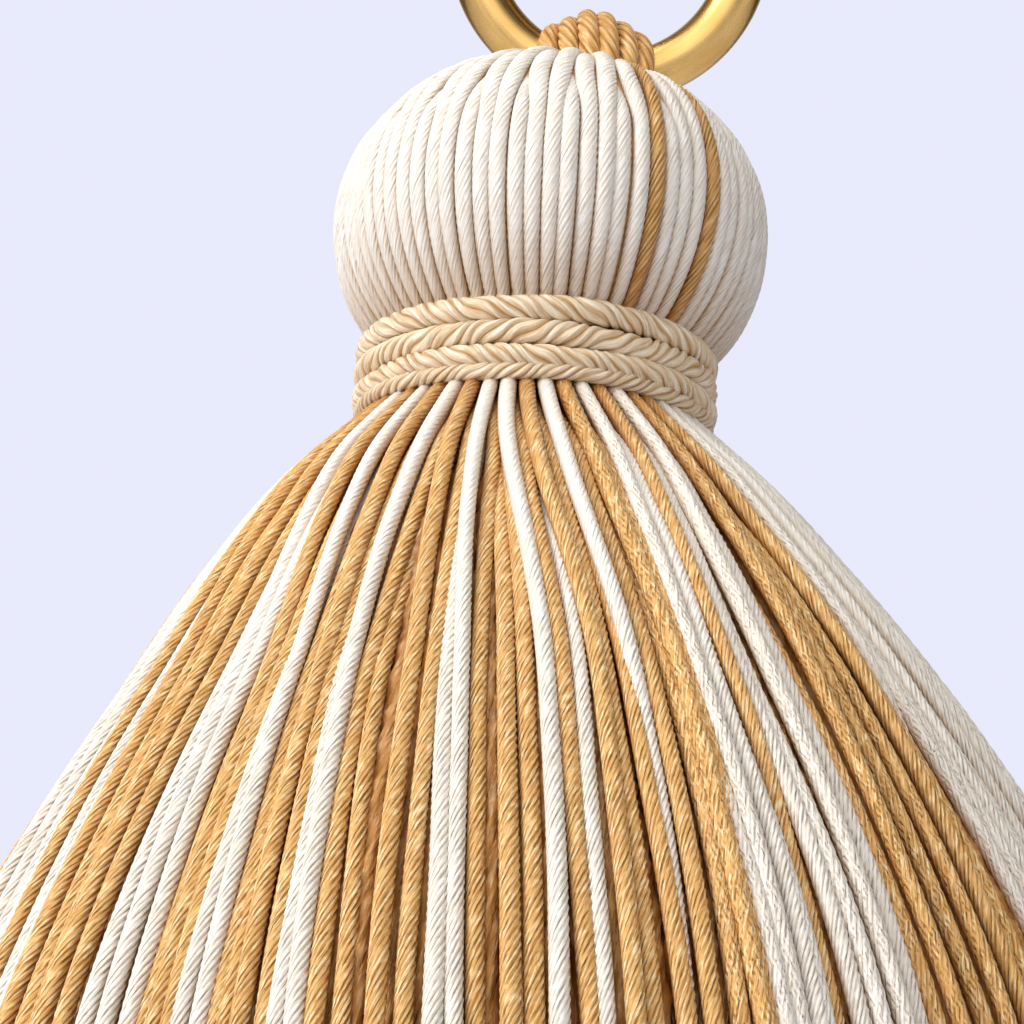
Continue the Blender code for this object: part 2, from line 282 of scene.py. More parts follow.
# Soft light of the air, brightest from the upper left in front
BRIGHT_SIDE = (-0.74, -0.42, 0.53)
AIR_RANGE = (-0.42, 0.80, 0.05, 1.23)
GLOSS_SIDE = (-0.36, -0.89, 0.28)
GLOSS_RANGE = (0.52, 0.96, 0.02, 1.75)
BACK_GLOSS_SIDE = (0.0, 0.88, 0.47)
BACK_GLOSS_RANGE = (0.68, 0.97, 0.0, 0.6)
AIR_COLOUR = (1.0, 0.975, 0.955, 1.0)
BACKGROUND_COLOUR = (0.811, 0.827, 0.973, 1.0)
FLOOR_REACH = 3.0
FLOOR_LEVEL = -0.4
FLOOR_COLOURS = ((0.74, 0.74, 0.82), (0.78, 0.78, 0.86))
LIGHTS = (
    # name, place in metres, size, power, colour, and how much of it shows in glossy surfaces
    ("key", (-0.50, -0.30, 0.26), 0.22, 2.3, (1.0, 0.995, 0.985), 1.0),
    ("top", (-0.06, -0.12, 0.55), 0.30, 1.0, (1.0, 0.98, 0.95), 1.0),
    ("side", (0.50, -0.25, 0.05), 0.30, 0.3, (1.0, 0.97, 0.95), 0.1),
)

# Colours of each yarn: its painted glints, its body, a deeper tone for its streaks that also paints the
# shade in its grooves and slits, and its painted shade
IVORY = ((0.98, 0.97, 0.95), (0.94, 0.92, 0.885), (0.80, 0.68, 0.52), (0.50, 0.28, 0.10))
GOLD = ((1.0, 0.80, 0.46), (0.81, 0.48, 0.175), (0.35, 0.13, 0.017), (0.33, 0.10, 0.01))
CHAMPAGNE = ((1.0, 0.96, 0.86), (0.94, 0.80, 0.58), (0.52, 0.26, 0.06), (0.28, 0.10, 0.017))
IVORY_SILK = ((0.95, 0.93, 0.89), (0.85, 0.81, 0.74), (0.58, 0.44, 0.29), (0.50, 0.28, 0.11))


def smooth_step(value):
    """Ease from 0 to 1."""
    share = np.clip(value, 0.0, 1.0)
    return share * share * (3 - 2 * share)


def smooth_curve(value, keys, results):
    """Read a table with rising keys along a smooth curve through its rows."""
    keys = np.asarray(keys, float)
    results = np.asarray(results, float)
    slopes = np.gradient(results, keys)
    row = np.clip(np.searchsorted(keys, value) - 1, 0, len(keys) - 2)
    span = keys[row + 1] - keys[row]
    t = np.clip((value - keys[row]) / span, 0, 1)
    first = (1 + 2 * t) * (1 - t) ** 2 * results[row] + t * (1 - t) ** 2 * span * slopes[row]
    second = t * t * (3 - 2 * t) * results[row + 1] + t * t * (t - 1) * span * slopes[row + 1]
    return first + second


def around(angle):
    """Flat direction at an angle from the front, turning to the right."""
    return np.stack([np.sin(angle), -np.cos(angle)], axis=-1)


def unit(vectors):
    return vectors / np.linalg.norm(vectors, axis=-1, keepdims=True)


def lengths_along(path):
    """Distance from the path's start to each of its points."""
    steps = np.linalg.norm(np.diff(path, axis=0), axis=1)
    return np.concatenate([[0.0], np.cumsum(steps)])


def resample(path, marks):
    """Points of a path at the given distances from its start."""
    along = lengths_along(path)
    return np.stack([np.interp(marks, along, path[:, axis]) for axis in range(3)], axis=-1)


def turn_about_y(points, angle):
    """Rotate points about the Y axis through the binding's middle; the angle may differ by point."""
    x = points[..., 0] * np.cos(angle) + points[..., 2] * np.sin(angle)
    z = points[..., 2] * np.cos(angle) - points[..., 0] * np.sin(angle)
    return np.stack([x, points[..., 1], z], axis=-1)


class Batch:
    """Tubes that become one piece, with what the cord materials read at each point."""

    def __init__(self):
        self.points = []
        self.faces = []
        self.fibre = []
        self.yarn = []
        self.count = 0

    def add(self, rows, fibre, yarn, ring=False):
        """Skin rows of points, as a closed ring or with a fan over each end."""
        steps, around_count = rows.shape[:2]
        index = np.arange(steps * around_count).reshape(steps, around_count) + self.count
        upper = index if ring else index[:-1]
        lower = np.roll(index, -1, axis=0) if ring else index[1:]
        quads = np.stack([upper, np.roll(upper, -1, 1), np.roll(lower, -1, 1), lower], axis=-1)
        self.faces += quads.reshape(-1, 4).tolist()
        self.points.append(rows.reshape(-1, 3))
        self.fibre.append(fibre.reshape(-1, 3))
        self.yarn.append(yarn.reshape(-1, 3))
        self.count += steps * around_count
        if not ring:
            for row, flip in ((0, True), (-1, False)):
                self.points.append(rows[row].mean(axis=0)[None])
                self.fibre.append(fibre[row].mean(axis=0)[None])
                self.yarn.append(yarn[row].mean(axis=0)[None])
                first = index[row]
                second = np.roll(first, -1)
                hub = np.full(around_count, self.count)
                corners = (second, first, hub) if flip else (first, second, hub)
                self.faces += np.stack(corners, axis=-1).tolist()
                self.count += 1

    def make(self, name, material, slot, *nodes):
        """Turn the tubes into one piece that rides on the tassel and stands for its solids."""
        mesh = bpy.data.meshes.new(name)
        points = np.concatenate(self.points) * MM + np.array(BINDING)
        mesh.from_pydata(points.tolist(), [], self.faces)
        for title, values in (("fibre", self.fibre), ("yarn", self.yarn)):
            layer = mesh.attributes.new(title, "FLOAT_VECTOR", "POINT")
            layer.data.foreach_set("vector", np.concatenate(values).astype(np.float32).ravel())
        mesh.shade_smooth()
        mesh.materials.append(material)
        item = bpy.data.objects.new(name, mesh)
        bpy.context.scene.collection.objects.link(item)
        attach(item, BODY)
        if nodes:
            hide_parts(*nodes)
        return item


def cord_section(ridges, points_each, valley, power):
    """Angles, radii and groove strength round a cord of ridges with a narrow groove between them."""
    count = ridges * points_each
    share = (np.arange(count) % points_each) / points_each
    off_ridge = np.abs(share * 2 - 1) ** power
    return 2 * np.pi * np.arange(count) / count, 1 - valley * off_ridge, off_ridge


def sweep_cord(batch, path, outs, wide, high, turns, section, tone, shade, relief=1.0, ring=False):
    """Sweep a twisted cord along a path. outs points away from what the cord lies on."""
    angles, radii, groove = section
    relief = np.broadcast_to(relief, turns.shape)[:, None]
    radii = 1 - (1 - radii) * relief
    if ring:
        tangents = unit(np.roll(path, -1, axis=0) - np.roll(path, 1, axis=0))
    else:
        tangents = unit(np.gradient(path, axis=0))
    outs = unit(outs - tangents * np.sum(outs * tangents, axis=1, keepdims=True))
    sides = np.cross(outs, tangents)
    spin = angles[None, :] + turns[:, None]
    across = np.cos(spin) * radii * wide[:, None]
    out = np.sin(spin) * radii * high[:, None]
    rows = path[:, None] + sides[:, None] * across[..., None] + outs[:, None] * out[..., None]
    along = lengths_along(path)
    if ring:
        along = np.minimum(along, along[-1] - along)
    along = np.broadcast_to(along[:, None], spin.shape)
    fibre = np.stack(
        [
            np.broadcast_to(np.cos(angles), spin.shape),
            np.broadcast_to(np.sin(angles), spin.shape),
            along + tone * 100,
        ],
        axis=-1,
    )
    # Painted shade: the shade value rises towards the side of each cord that faces away from outs, most at
    # its back
    inward = (1 - np.sin(spin)) / 2
    yarn = np.stack(
        [
            groove * relief,
            np.full(spin.shape, tone),
            np.clip(shade[:, None] + inward * 0.8, 0, 1),
        ],
        axis=-1,
    )
    batch.add(rows, fibre, yarn, ring)


# Materials


class Nodes:
    """Short ways to add nodes to a material."""

    def __init__(self, name):
        self.material = bpy.data.materials.new(name)
        self.material.use_nodes = True
        self.tree = self.material.node_tree
        self.shader = self.tree.nodes["Principled BSDF"]

    def link(self, source, target):
        self.tree.links.new(source, target)

    def add(self, kind, **values):
        node = self.tree.nodes.new(kind)
        for key, value in values.items():
            setattr(node, key, value)
        return node

    def attribute(self, name):
        return self.add("ShaderNodeAttribute", attribute_name=name).outputs["Vector"]

    def parts(self, vector):
        node = self.add("ShaderNodeSeparateXYZ")
        self.link(vector, node.inputs[0])
        return node.outputs

    def maths(self, operation, first, second=0.0):
        node = self.add("ShaderNodeMath", operation=operation)
        for socket, value in zip(node.inputs, (first, second)):
            if isinstance(value, (int, float)):
                socket.default_value = value
            else:
                self.link(value, socket)
        return node.outputs[0]

    def noise(self, vector, scale, stretch, detail):
        mapping = self.add("ShaderNodeMapping")
        mapping.inputs["Scale"].default_value = stretch
        self.link(vector, mapping.inputs["Vector"])
        node = self.add("ShaderNodeTexNoise")
        node.inputs["Scale"].default_value = scale
        node.inputs["Detail"].default_value = detail
        self.link(mapping.outputs[0], node.inputs["Vector"])
        return node.outputs["Fac"]

    def mix(self, factor, first, second):
        """Blend two colours; inputs 0, 6 and 7 are the factor and the colours."""
        node = self.add("ShaderNodeMix", data_type="RGBA")
        sockets = (node.inputs[0], node.inputs[6], node.inputs[7])
        for socket, value in zip(sockets, (factor, first, second)):
            if isinstance(value, (int, float)):
                socket.default_value = value
            elif isinstance(value, tuple):
                socket.default_value = (*value, 1.0)
            else:
                self.link(value, socket)
        return node.outputs[2]

    def spread(self, value, low, high, first, second):
        """Map a range of values to another, held at its ends."""
        node = self.add("ShaderNodeMapRange")
        for socket, number in zip(node.inputs[1:5], (low, high, first, second)):
            socket.default_value = number
        self.link(value, node.inputs[0])
        return node.outputs[0]

    def bump(self, height, distance, normal=None):
        node = self.add("ShaderNodeBump")
        node.inputs["Distance"].default_value = distance
        self.link(height, node.inputs["Height"])
        if normal is not None:
            self.link(normal, node.inputs["Normal"])
        return node.outputs[0]


def finish_yarn(kit, body, height, silk, glint_colour, relief):
    """Gloss in the yarn's own tint, sheen and relief that all the yarns share."""
    kit.link(body, kit.shader.inputs["Base Color"])
    kit.link(kit.spread(silk, 0.4, 0.6, 0.42, 0.28), kit.shader.inputs["Roughness"])
    kit.shader.inputs["Specular IOR Level"].default_value = 0.65
    kit.shader.inputs["Specular Tint"].default_value = (*glint_colour, 1.0)
    kit.shader.inputs["Sheen Weight"].default_value = 0.04
    kit.shader.inputs["Sheen Roughness"].default_value = 0.4
    kit.shader.inputs["Sheen Tint"].default_value = (*glint_colour, 1.0)
    normal = kit.bump(height, 0.09 * MM)
    normal = kit.bump(kit.spread(silk, 0.35, 0.65, 0.0, 1.0), relief * MM, normal)
    kit.link(normal, kit.shader.inputs["Normal"])


def make_cord_material(name, glint_colour, light, deep, hidden, creases):
    """Silky twisted yarn: streaks of filament along each ply, painted glints on the brightest streaks,
    painted shade in the grooves as strong as creases says, and painted shade where the shade value is high.
    """
    kit = Nodes(name)
    fibre = kit.attribute("fibre")
    groove, tone, shade = kit.parts(kit.attribute("yarn"))
    streaks = kit.noise(fibre, 1.0, (3.2, 3.2, 0.75), 3.0)
    hairs = kit.noise(fibre, 1.0, (11.0, 11.0, 0.5), 2.0)
    patches = kit.noise(fibre, 1.0, (0.9, 0.9, 0.3), 2.0)
    silk = kit.mix(0.35, streaks, hairs)
    body = kit.mix(kit.spread(silk, 0.36, 0.54, 0.4, 1.0), deep, light)
    # Painted glints: the brightest streaks take the glint colour
    body = kit.mix(kit.spread(silk, 0.52, 0.62, 0.0, 0.9), body, glint_colour)
    body = kit.mix(kit.spread(tone, 0.0, 1.0, 0.0, 0.15), body, deep)
    # Painted shade in the grooves, broken into dashes; the same marks set the bump
    breaks = kit.spread(patches, 0.36, 0.56, 0.3 * creases, creases)
    furrow = kit.maths("MULTIPLY", kit.maths("POWER", groove, 1.5), breaks)
    body = kit.mix(furrow, body, deep)
    # Painted shade: the shade colour where the shade value is high
    body = kit.mix(kit.spread(shade, 0.3, 0.85, 0.0, 1.0), body, hidden)
    finish_yarn(kit, body, kit.maths("SUBTRACT", 1.0, furrow), silk, glint_colour, 0.05)
    return kit.material


def make_strand_material(name, glint_colour, light, deep, hidden, contrast):
    """Finer strand: dark broken slits between its plies, crossed the other way where it is plaited; the
    slits are painted shade with a bump to match, and the strand also has painted glints and painted shade.
    """
    kit = Nodes(name)
    fibre = kit.attribute("fibre")
    groove, tone, shade = kit.parts(kit.attribute("yarn"))
    right, up, along = kit.parts(fibre)
    streaks = kit.noise(fibre, 1.0, (3.0, 3.0, 1.0), 2.0)
    patches = kit.noise(fibre, 1.0, (1.3, 1.3, 0.7), 2.0)
    weave = kit.noise(fibre, 1.0, (1.9, 1.9, 1.6), 0.0)
    turn = kit.maths("MULTIPLY", kit.maths("ARCTAN2", up, right), STRAND_PLIES)
    advance = kit.maths("MULTIPLY", along, 4 * math.pi * STRAND_PLIES / PLAIT_LAY)
    crossing = kit.maths("COSINE", kit.maths("ADD", turn, advance))
    crossing = kit.spread(crossing, -1.0, 1.0, 0.0, 1.0)
    plaited = kit.maths("GREATER_THAN", tone, 0.5)
    crossed = kit.maths("MULTIPLY", plaited, kit.spread(weave, 0.44, 0.56, 0.0, 0.75))
    slits = kit.mix(crossed, kit.maths("POWER", groove, 2.0), kit.maths("POWER", crossing, 2.5))
    slits = kit.maths("MULTIPLY", slits, kit.spread(patches, 0.34, 0.56, 0.25, 1.0))
    middle = tuple((first + second) / 2 for first, second in zip(light, deep))
    body = kit.mix(kit.spread(streaks, 0.38, 0.52, 1.0 - 0.6 * contrast, 1.0), middle, light)
    # Painted glints: the brightest streaks take the glint colour
    body = kit.mix(kit.spread(streaks, 0.53, 0.61, 0.0, 0.95), body, glint_colour)
    change = kit.maths("FRACT", kit.maths("MULTIPLY", tone, 7.0))
    body = kit.mix(kit.spread(change, 0.0, 1.0, 0.0, 0.25), body, middle)
    # Painted shade in the slits between the plies
    body = kit.mix(kit.maths("MULTIPLY", slits, 0.3 + 0.6 * contrast), body, deep)
    # Painted shade: the shade colour where the shade value is high
    body = kit.mix(kit.spread(shade, 0.2, 0.8, 0.0, 1.0), body, hidden)
    finish_yarn(kit, body, kit.maths("SUBTRACT", 1.0, slits), streaks, glint_colour, 0.03 * contrast + 0.015)
    return kit.material


def make_brass():
    """Satin brass with fine lines along the wire and faint tarnish."""
    kit = Nodes("brass")
    fibre = kit.attribute("fibre")
    lines = kit.noise(fibre, 1.0, (22.0, 22.0, 0.12), 3.0)
    tarnish = kit.noise(fibre, 1.0, (1.3, 1.3, 0.25), 3.0)
    colour = kit.mix(kit.spread(tarnish, 0.35, 0.75, 0.0, 0.7), (0.86, 0.56, 0.20), (0.62, 0.35, 0.09))
    kit.link(colour, kit.shader.inputs["Base Color"])
    kit.link(kit.spread(lines, 0.3, 0.7, 0.22, 0.36), kit.shader.inputs["Roughness"])
    kit.shader.inputs["Metallic"].default_value = 1.0
    kit.link(kit.bump(lines, 0.006 * MM), kit.shader.inputs["Normal"])
    return kit.material


# Ring


def make_ring(brass):
    """A smooth closed ring of round wire."""
    steps = 160
    sides = 40
    turns = 2 * np.pi * np.arange(steps) / steps
    radius = RING_OUTER_RADIUS - RING_WIRE_RADIUS
    up = np.array((0, -math.sin(RING_LEAN), math.cos(RING_LEAN)))
    right = np.array((1.0, 0, 0))
    outs = right * np.sin(turns)[:, None] + up * np.cos(turns)[:, None]
    path = RING_CENTRE + outs * radius
    angles = 2 * np.pi * np.arange(sides) / sides
    section = (angles, np.ones(sides), np.zeros(sides))
    wire = np.full(steps, RING_WIRE_RADIUS)
    batch = Batch()
    sweep_cord(batch, path, outs, wire, wire, np.zeros(steps), section, 0.5, np.zeros(steps), ring=True)
    batch.make("brass_ring", brass, "brass", "ring")


# Sling


def sling_loop(top, front, root, height):
    """One turn of cord round the ring's wire and down into the head's top."""
    drop = RING_OUTER_RADIUS - RING_WIRE_RADIUS
    wire = RING_CENTRE + np.array((0, drop * math.sin(RING_LEAN), -drop * math.cos(RING_LEAN)))
    fall = SLING_FOOT - wire
    fall[0] = 0
    reach = np.linalg.norm(fall)
    down = fall / reach
    across = np.array((0, -down[2], down[1]))
    near = RING_WIRE_RADIUS + height
    long_half = (near + reach) / 2
    middle = wire + down * (reach - near) / 2
    turns = 2 * np.pi * np.arange(SLING_STEPS) / SLING_STEPS
    low = (1 + np.cos(turns)) / 2
    lengthwise = down * (long_half * np.cos(turns))[:, None]
    crosswise = across * (near * np.sin(turns))[:, None]
    path = middle + lengthwise + crosswise
    sideways = top + (root - top) * low
    forward = np.maximum(-np.sin(turns), 0) ** SLING_SPREAD_POWER
    path[:, 0] = SLING_FOOT[0] + sideways + (front - (top + root) / 2) * forward
    bend = drop - np.sqrt(drop ** 2 - (path[:, 0] - RING_CENTRE[0]) ** 2)
    path[:, 2] += bend * (1 - low * low)
    outs = down * (np.cos(turns) / long_half)[:, None] + across * (np.sin(turns) / near)[:, None]
    return path, unit(outs)


def make_sling(gold):
    """Turns of twisted cord side by side, with more of them heaped over their middle."""
    dice = random.Random(5)
    section = cord_section(*SLING_SECTION)
    batch = Batch()
    for top, front, root, height in SLING_LOOPS:
        path, outs = sling_loop(top, front, root, height)
        half = np.full(SLING_STEPS, SLING_CORD_HALF)
        lays = round(lengths_along(path)[-1] / SLING_LAY)
        turns = -2 * np.pi * lays * np.arange(SLING_STEPS) / SLING_STEPS
        shade = np.zeros(SLING_STEPS)
        sweep_cord(batch, path, outs, half, half, turns, section, dice.random(), shade, ring=True)
    batch.make("sling_cords", gold, "gold_cord", "sling")


# Head


def head_point(angle, turn, depth):
    """Points on the ball at a turn of 0 at its top, sunk by a depth towards its middle."""
    radius = HEAD_RADIUS * np.sin(turn)
    upper = turn < np.pi / 2
    pole = np.array(POLE) * np.where(upper, 1 - np.sin(turn), 0)[..., None]
    flat = around(angle) * radius[..., None] + pole
    share = np.minimum(np.linalg.norm(flat, axis=-1) / HEAD_RADIUS, 1.0)
    near = np.minimum(radius / DIMPLE_RADIUS, 1.0)
    dimple = DIMPLE_DEPTH * (1 - near * near) ** 2
    rise = HEAD_RISE * np.sqrt(1 - share * share) - dimple
    height = np.where(upper, rise, HEAD_DROP * np.cos(turn))
    points = np.concatenate([flat, height[..., None]], axis=-1)
    points *= (1 - depth / np.linalg.norm(points, axis=-1))[..., None]
    return points + np.array((HEAD_OFFSET, 0, HEAD_EQUATOR))


def head_turn_ends():
    """Turns at the hole in the top and just above the binding."""
    first = math.asin(POLE_HOLE_RADIUS / HEAD_RADIUS)
    last = math.pi - math.acos((HEAD_EQUATOR - HEAD_LAST_ROW) / HEAD_DROP)
    return first, last


def head_cord_path(number, dice):
    """Path of one upright cord; two of each three sink between the others towards the top."""
    count = 240
    first, last = head_turn_ends()
    turn = np.linspace(first, last, count)
    pitch = 2 * math.pi / HEAD_CORDS
    early = smooth_step((EARLY_CROWDING[0] - turn) / EARLY_CROWDING[1])
    late = smooth_step((LATE_CROWDING[0] - turn) / LATE_CROWDING[1])
    place = np.full(count, float(number))
    sunk = np.full(count, dice.uniform(0, 0.12))
    share = np.ones(count)
    if number in GOLD_HEAD_CORDS:
        sunk = np.zeros(count)
    else:
        shift, early_depth, late_depth, early_width, late_width = CROWDING[number % 3]
        place = place + shift * early
        sunk = sunk + early_depth * early + late_depth * late
        share = share + early_width * early + late_width * late
    place = place + dice.uniform(-0.09, 0.09)
    angle = place * pitch
    end = around(angle[-1])
    path = head_point(angle, turn, HEAD_CORD_HALF * HEAD_FLATNESS + sunk)
    room = np.linalg.norm(head_point(angle + pitch, turn, sunk) - head_point(angle, turn, sunk), axis=1)
    wide = np.minimum(room * share * dice.uniform(0.485, 0.53), HEAD_CORD_HALF * 1.15)
    tuck = np.array([[*(end * radius), height] for radius, height in HEAD_TUCK])
    path = np.concatenate([path, tuck])
    wide = np.concatenate([wide, [wide[-1], wide[-1] * 0.94]])
    return path, wide


def make_head(ivory, gold):
    """Upright cords all round the ball, over a deeper ground that closes the gaps between them."""
    dice = random.Random(3)
    front = Batch()
    back = Batch()
    accents = Batch()
    fine = cord_section(*HEAD_FRONT_SECTION)
    plain = cord_section(*HEAD_BACK_SECTION)
    middle = np.array((HEAD_OFFSET, 0, HEAD_EQUATOR))
    for number in range(HEAD_CORDS):
        path, wide = head_cord_path(number, dice)
        shown = math.cos(2 * math.pi * number / HEAD_CORDS) > -0.25
        along = lengths_along(path)
        marks = np.linspace(0, along[-1], HEAD_FRONT_STEPS if shown else HEAD_BACK_STEPS)
        spots = resample(path, marks)
        outs = spots - middle
        half = np.interp(marks, along, wide)
        high = np.minimum(HEAD_CORD_HALF, half * 1.1) * HEAD_FLATNESS
        turns = 2 * np.pi * (marks / HEAD_LAY + dice.random())
        spots = turn_about_y(spots, HEAD_LEAN)
        outs = turn_about_y(outs, HEAD_LEAN)
        batch = front if shown else back
        if number in GOLD_HEAD_CORDS:
            batch = accents
        section = fine if shown else plain
        # Painted shade, deeper towards the binding
        foot = smooth_step(1 - (marks[-1] - marks) / HEAD_FOOT_LENGTH)
        shade = HEAD_SHADE + HEAD_FOOT_SHADE * foot
        sweep_cord(batch, spots, outs, half, high, turns, section, dice.random(), shade)
    front.make("head_cords_front", ivory, "ivory_cord", "head")
    back.make("head_cords_back", ivory, "ivory_cord", "head")
    accents.make("head_gold_cords", gold, "gold_cord", "head")
    make_head_ground(gold)


def make_head_ground(gold):
    """The tightly wound under-layer that shows as thin lines between the cords."""
    first, last = head_turn_ends()
    columns = 96
    turns = np.linspace(first, last, 30)
    angles = -2 * np.pi * np.arange(columns) / columns
    angle, turn = np.meshgrid(angles, turns)
    rows = head_point(angle, turn, np.full(angle.shape, HEAD_GROUND_DEPTH))
    neck = [
        np.concatenate([around(angles) * radius, np.full((columns, 1), height)], axis=1)
        for radius, height in HEAD_GROUND_TUCK
    ]
    rows = turn_about_y(np.concatenate([rows, neck]), HEAD_LEAN)
    count = len(rows)
    fibre = np.stack(
        [
            np.broadcast_to(np.cos(angles) * 12, (count, columns)),
            np.broadcast_to(np.sin(angles) * 12, (count, columns)),
            np.broadcast_to(np.linspace(0, 40, count)[:, None], (count, columns)),
        ],
        axis=-1,
    )
    # Fixed groove and tone values, and painted shade of a half that darkens the whole under-layer
    yarn = np.broadcast_to(np.array((0.2, 0.5, 0.5)), fibre.shape)
    batch = Batch()
    batch.add(rows, fibre, yarn)
    batch.make("head_ground", gold, "gold_cord", "head")


# Binding


def waves(angle, order, terms):
    """Sum of the waves round one wrap."""
    return sum(size * np.sin(angle * number + order * shift) for number, size, shift in terms)


def make_binding(champagne):
    """Wraps of thick plied cord whose twist turns the other way from one to the next."""
    section = cord_section(*BAND_SECTION)
    angle = 2 * np.pi * np.arange(BAND_STEPS) / BAND_STEPS
    level = np.concatenate([around(angle), np.zeros((BAND_STEPS, 1))], axis=1)
    shade = np.zeros(BAND_STEPS)
    for order, (piece, node, half, height, outer, twist) in enumerate(BAND_CORDS):
        path = level * (outer - half)
        path[:, 2] = height + waves(angle, order, BAND_RISE_WAVES)
        thick = half * (1 + waves(angle, order, BAND_THICKNESS_WAVES))
        turns = twist * angle + waves(angle, order, BAND_TWIST_WAVES)
        tone = 0.2 + 0.2 * order
        spots = turn_about_y(path, HEAD_LEAN)
        outs = turn_about_y(level, HEAD_LEAN)
        batch = Batch()
        sweep_cord(batch, spots, outs, thick, thick, turns, section, tone, shade, ring=True)
        batch.make(piece, champagne, "champagne_cord", node)


# Skirt


def drift(angle, height):
    """How far a strand has swung round on its way down."""
    share = 1 - np.exp(np.minimum((height - DRIFT_START) / DRIFT_LENGTH, 0.0))
    return (DRIFT_MEAN - DRIFT_SWING * math.sin(angle)) * share


def skirt_radius(height):
    heights, radii = zip(*SKIRT_PROFILE)
    return np.interp(-np.asarray(height, float), -np.array(heights), radii)


def slide_at(place):
    """How far a strand at a place, or between two, leaves its even course."""
    first = math.floor(place)
    share = place - first
    before = SLIDES.get(first % STRANDS_AROUND, 0.0)
    after = SLIDES.get((first + 1) % STRANDS_AROUND, 0.0)
    return before + (after - before) * share


def random_wave(height, size, shortest, longest, dice):
    """A wave down a strand whose length and start are drawn at random."""
    return size * np.sin(-height / dice.uniform(shortest, longest) + dice.uniform(0, 6.3))


def strand_path(layer, place, dice):
    """Middle line of one strand from the neck to its cut end."""
    root_radius, root_height, bends = LAYERS[layer]
    root_angle = FIRST_STRAND + place * SECTOR
    end = bends[-1][0] + dice.uniform(-1, 1) * END_UNEVENNESS
    height = np.linspace(root_height, end, 300)
    keys = [-root_height] + [-row[0] for row in bends]
    radii = [root_radius] + [float(skirt_radius(row[0])) - STRAND_HALF[0] - row[1] for row in bends]
    shares = [0.0] + [row[2] for row in bends]
    slide = slide_at(place + shares[-1]) + NUDGES.get((layer, place), 0.0)
    if layer in UNDER_LAYERS:
        slide = 0.0
    free = smooth_step((DRIFT_START - height) / FREE_LENGTH)
    parted = smooth_step((SLIDE_START - height) / SLIDE_LENGTH)
    wander = sum(random_wave(height, *wave, dice) for wave in WANDER_WAVES)
    bob = random_wave(height, *BOB_WAVE, dice)
    radius = smooth_curve(-height, keys, radii) + bob * free
    if layer in BETWEEN_LAYERS:
        radius = radius - dice.uniform(0, BETWEEN_DEPTH) * free
    for sunk_layer, sunk_place, start, depth in SUNK_STRANDS:
        if (sunk_layer, sunk_place) == (layer, place):
            radius = radius - depth * smooth_step((start - height) / SINK_LENGTH)
    share = smooth_curve(-height, keys, shares)
    angle = root_angle + share * SECTOR + drift(root_angle, height)
    angle = angle + (wander * free + slide * parted) / radius
    path = np.concatenate([around(angle) * radius[:, None], height[:, None]], axis=1)
    outs = np.concatenate([around(angle), np.full((len(height), 1), OUTWARD_TILT)], axis=1)
    lean = HEAD_LEAN * smooth_step((height - LEAN_END) / (LEAN_START - LEAN_END))
    return turn_about_y(path, lean), turn_about_y(outs, lean)


def strand_marks(length, count, hidden):
    """Distances along a strand, coarse on its hidden upper stretch."""
    coarse = np.linspace(0, hidden, int(hidden / HIDDEN_STEP), endpoint=False)
    return np.concatenate([coarse, np.linspace(hidden, length, count)])


def add_strand(batch, layer, place, colour, section, count, dice):
    """One twisted strand with a cut end, smoother near the binding, where it carries painted shade."""
    path, outs = strand_path(layer, place, dice)
    along = lengths_along(path)
    hidden = HIDDEN_LENGTHS[layer]
    marks = strand_marks(along[-1], count, hidden)
    spots = resample(path, marks)
    leans = np.stack([np.interp(marks, along, outs[:, axis]) for axis in range(3)], axis=-1)
    share = marks / marks[-1]
    half = np.interp(-spots[:, 2], STRAND_HALF_HEIGHTS, STRAND_HALF) * dice.uniform(*THICKNESS_CHANGE)
    if layer in UNDER_LAYERS:
        half = half * (1 + (UNDER_THICKNESS - 1) * np.sin(np.pi * np.minimum(share * 1.15, 1)) ** 0.5)
    half[-1] *= CUT_END_FLARE
    plaited = PLAITED_PLACES[0] < place < PLAITED_PLACES[1] and dice.random() < PLAITED_SHARE
    lay = PLAIT_LAY if plaited else TWIST_LAY * dice.uniform(0.92, 1.1)
    lay = max(lay, (along[-1] - hidden) / count * FEWEST_STEPS_A_LAY)
    turns = 2 * np.pi * (np.maximum(marks - hidden, 0) / lay + dice.random())
    # Painted shade: darkest just under the binding, more on gold near it, and more for the deeper layers
    shade = ROOT_SHADE * np.exp(-marks / ROOT_SHADE_LENGTH)
    shade += BAND_SHADE[colour] * (1 - smooth_step(marks / BAND_SHADE_LENGTH))
    depth = LAYER_SHADES[layer]
    if layer in BETWEEN_LAYERS:
        depth = depth * (1 - smooth_step((marks - BETWEEN_SHADE_START) / BETWEEN_SHADE_LENGTH))
    shade += depth
    # Tones up to a half are twisted strands, the others plaited ones
    tone = (dice.random() + plaited) / 2
    relief = np.interp(marks, TWIST_FADE, (SMOOTHNESS[colour], 1.0))
    sweep_cord(batch, spots, leans, half, half, turns, section, tone, shade, relief)


def strand_kind(layer, place):
    """Where a strand lies, its cross-section and how many steps it has."""
    if layer in UNDER_LAYERS:
        return "under", COARSE_SECTION, UNDER_STEPS
    if layer == INNER_LAYER:
        return "inner", COARSE_SECTION, INNER_STEPS
    depth = "between" if layer in BETWEEN_LAYERS else "outer"
    if math.cos(FIRST_STRAND + place * SECTOR + DRIFT_MEAN) > FACING_LIMIT:
        return "front_" + depth, FRONT_SECTION, FRONT_STEPS[depth]
    return "back", BACK_SECTION, BACK_STEPS[depth]


